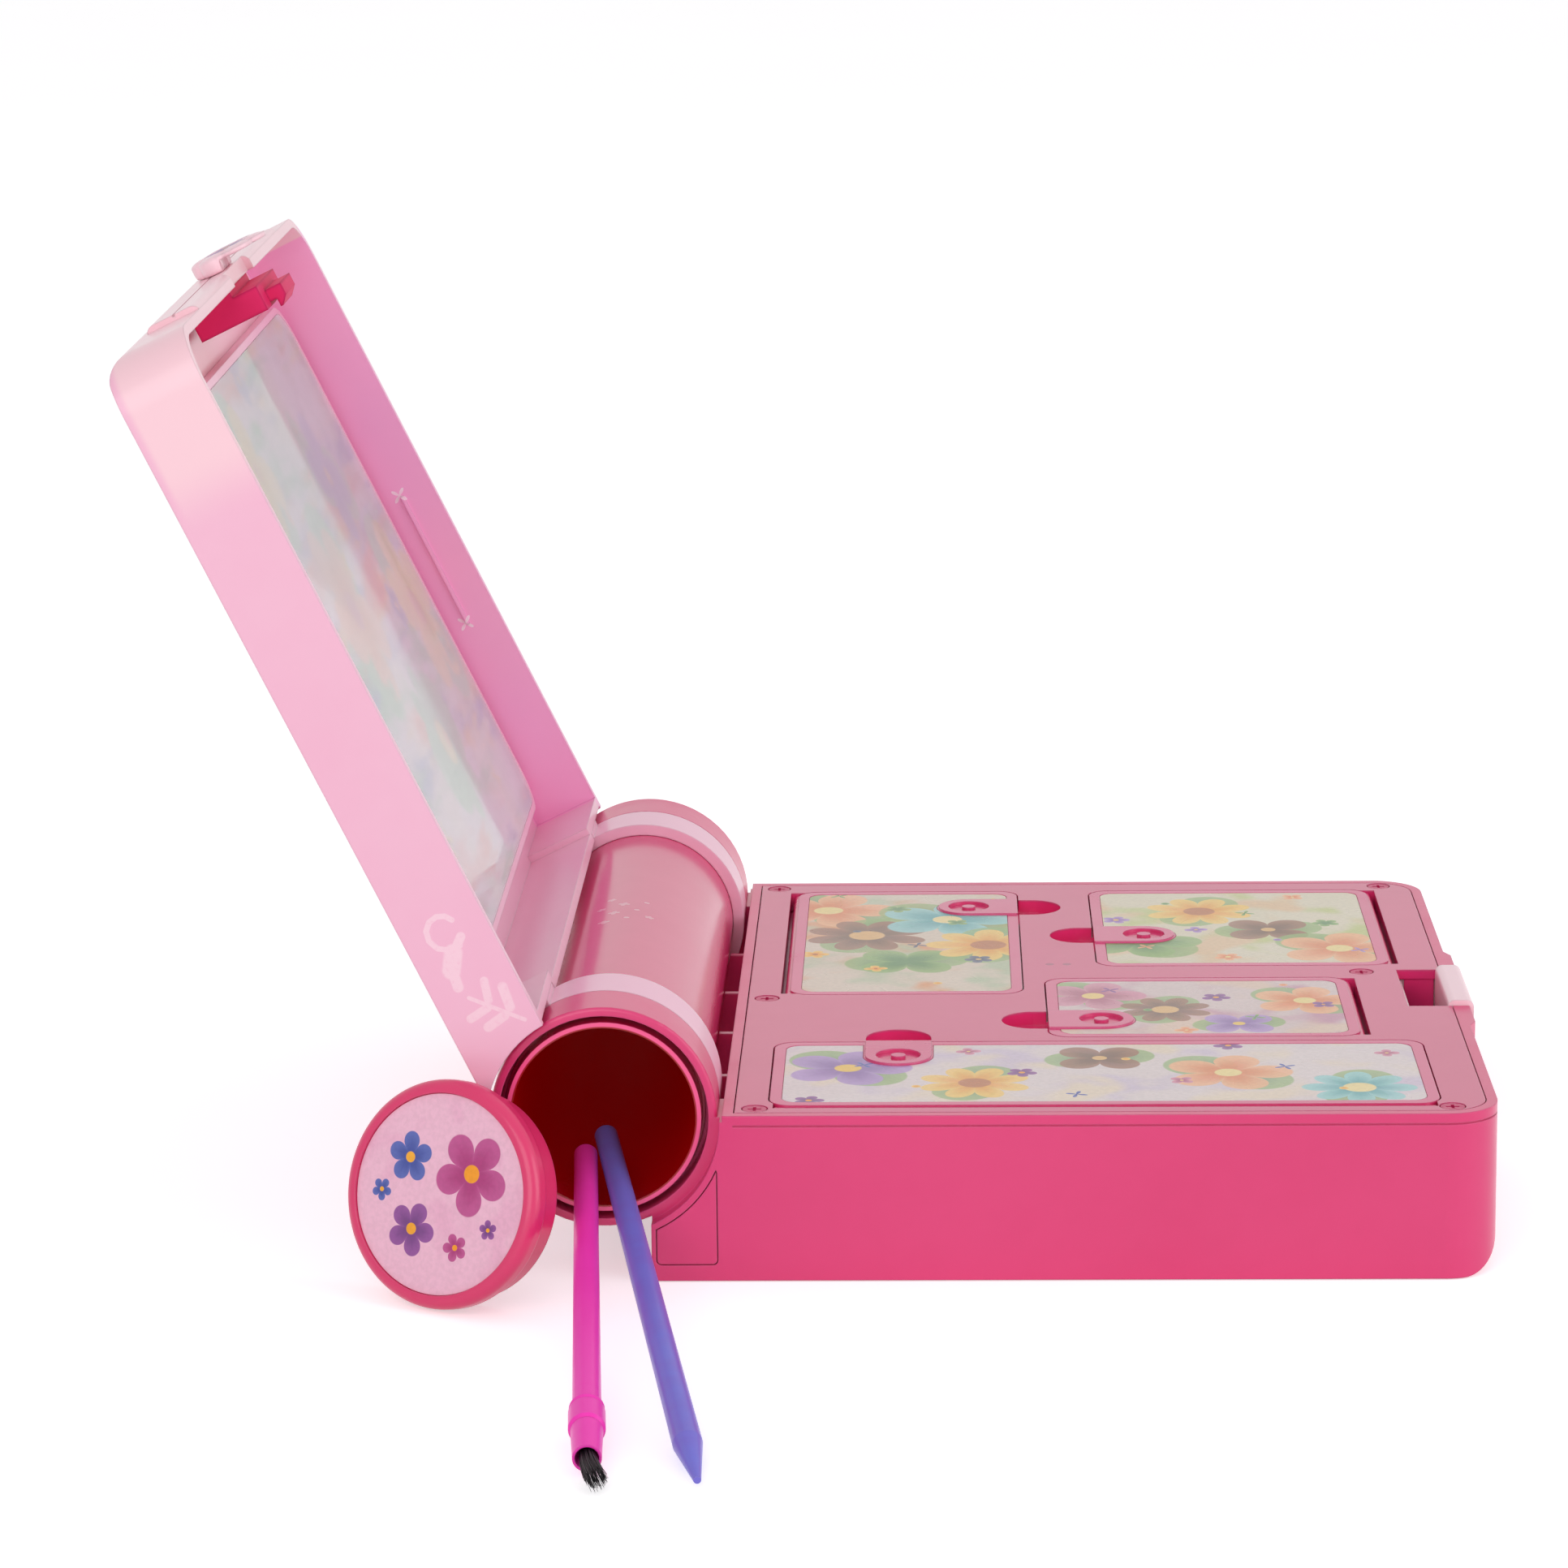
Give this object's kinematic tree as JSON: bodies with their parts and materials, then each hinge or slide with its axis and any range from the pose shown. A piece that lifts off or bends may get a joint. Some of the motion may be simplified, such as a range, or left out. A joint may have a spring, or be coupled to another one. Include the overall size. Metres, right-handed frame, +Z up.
{
  "type": "hinged toy carry case",
  "caption": "Hinged plastic carry case with an open leaning lid, flap-lidded compartments, a tube spine holding a brush and a stylus, a loose tube cap and a push-button latch.",
  "frame": {"origin": "centre of the tray's underside", "axes": "+X from the spine to the free end, +Y along the spine away from the tube's open mouth, +Z up"},
  "size_m": [0.3046, 0.3573, 0.2224],
  "materials": {
    "hot_pink_shell": "glossy",
    "hot_pink_deck": "glossy",
    "screw": "satin",
    "hot_pink_tube": "glossy",
    "light_pink": "glossy",
    "printed_card": "satin",
    "clear_sheet": "clear",
    "deep_pink": "glossy",
    "pale_pink": "glossy",
    "printed_label": "satin",
    "spring_wire": "satin",
    "cap_pink": "glossy",
    "magenta": "glossy",
    "bristle": "matt",
    "violet": "clear tinted",
    "well_pink": "glossy"
  },
  "bodies": {
    "base": {"tray_shell": "hot_pink_shell", "cradle_ribs": "hot_pink_shell", "cradle_covers": "hot_pink_shell", "deck_plate": "hot_pink_deck", "deck_screws": "screw", "well_back_left": "well_pink", "well_back_right": "well_pink", "well_middle": "well_pink", "well_front": "well_pink", "storage_tube": "hot_pink_tube", "tube_plug": "hot_pink_tube", "button_spring": "spring_wire"},
    "lid": {"lid_shell": "light_pink", "lid_rings": "light_pink", "panel_frame": "light_pink", "picture_card": "printed_card", "panel_window": "clear_sheet", "latch_hook": "deep_pink", "flower_clasp": "pale_pink", "clasp_label": "printed_label"},
    "back_left_flap": {"flap_back_left": "hot_pink_deck", "label_back_left": "printed_label"},
    "back_right_flap": {"flap_back_right": "hot_pink_deck", "label_back_right": "printed_label"},
    "middle_flap": {"flap_middle": "hot_pink_deck", "label_middle": "printed_label"},
    "front_flap": {"flap_front": "hot_pink_deck", "label_front": "printed_label"},
    "button": {"release_button": "pale_pink"},
    "cap": {"tube_cap": "cap_pink", "cap_label": "printed_label"},
    "brush": {"brush_handle": "magenta", "brush_ferrule": "magenta", "brush_bristles": "bristle"},
    "stylus": {"stylus": "violet"}
  },
  "joints": [
    {"name": "lid_hinge", "type": "hinge", "parent": "base", "child": "lid", "pos_m": [-0.1124, 0, 0.0366], "axis": [0, -1, 0], "range_deg": [-116, 0]},
    {"name": "back_left_flap_hinge", "type": "hinge", "parent": "base", "child": "back_left_flap", "pos_m": [-0.0736, 0.0475, 0.0362], "axis": [0, -1, 0], "range_deg": [0, 96]},
    {"name": "back_right_flap_hinge", "type": "hinge", "parent": "base", "child": "back_right_flap", "pos_m": [0.07185, 0.0605, 0.0362], "axis": [0, 1, 0], "range_deg": [0, 96]},
    {"name": "middle_flap_hinge", "type": "hinge", "parent": "base", "child": "middle_flap", "pos_m": [0.0601, -0.0168, 0.0362], "axis": [0, 1, 0], "range_deg": [0, 96]},
    {"name": "front_flap_hinge", "type": "hinge", "parent": "base", "child": "front_flap", "pos_m": [0, -0.1005, 0.0362], "axis": [1, 0, 0], "range_deg": [0, 96]},
    {"name": "release_button", "type": "slide", "parent": "base", "child": "button", "axis": [-1, 0, 0], "range_m": [0, 0.0016], "stiffness_N_per_m": 600, "deforming": ["button_spring"]},
    {"name": "cap_move", "type": "slide", "parent": "base", "child": "cap", "axis": [0, -1, 0], "range_m": [0, 0.03]},
    {"name": "brush_slide", "type": "slide", "parent": "base", "child": "brush", "axis": [0.0607, -0.9982, 0], "range_m": [0, 0.045]},
    {"name": "stylus_slide", "type": "slide", "parent": "base", "child": "stylus", "axis": [0.161, -0.9869, 0], "range_m": [0, 0.045]}
  ]
}
